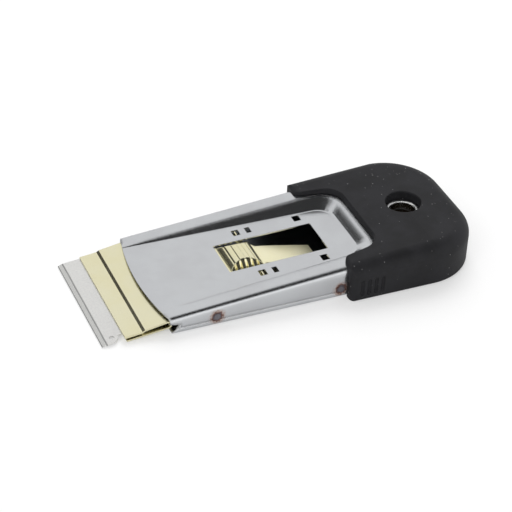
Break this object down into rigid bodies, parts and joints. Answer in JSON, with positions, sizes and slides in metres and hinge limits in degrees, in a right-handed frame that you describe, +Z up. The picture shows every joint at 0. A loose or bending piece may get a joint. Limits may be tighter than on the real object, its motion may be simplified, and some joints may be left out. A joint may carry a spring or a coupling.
{
  "type": "ceramic hob scraper",
  "caption": "Flat hand scraper for glass hobs: a sheet steel body with a sliding blade holder, a sprung thumb pad and a moulded handle with a hanging hole.",
  "frame": {"origin": "middle of the resting face: halfway along the tool with the blade out, on the tool's centre line, on the bench", "axes": "+X from the cutting edge to the handle, +Z up out of the body's floor, +Y across the tool"},
  "size_m": [0.1174, 0.0496, 0.0131],
  "materials": {
    "plated_steel": "satin nickel plate",
    "weld_nugget": "heat-stained spot weld",
    "black_plastic": "moulded, fine spark texture",
    "blade_steel": "ground, finely scratched",
    "brassed_steel": "bright, thin brass plate"
  },
  "bodies": {
    "scraper_body": {"top_shell": "plated_steel", "bottom_shell": "plated_steel", "spot_welds": "weld_nugget", "hanging_eyelet": "plated_steel", "handle_cap": "black_plastic"},
    "blade_slider": {"blade": "blade_steel", "blade_holder": "brassed_steel", "spring_leaf": "brassed_steel", "leaf_rivets": "brassed_steel"},
    "sprung_pad": {"thumb_pad": "brassed_steel"}
  },
  "joints": [
    {"name": "blade_slide", "type": "slide", "parent": "scraper_body", "child": "blade_slider", "axis": [0.9994, 0, 0.0349], "range_m": [0, 0.0195]},
    {"name": "pad_press", "type": "slide", "parent": "blade_slider", "child": "sprung_pad", "axis": [0, 0, -1], "range_m": [0, 0.0008], "stiffness_N_per_m": 2000, "deforming": ["spring_leaf"]}
  ]
}
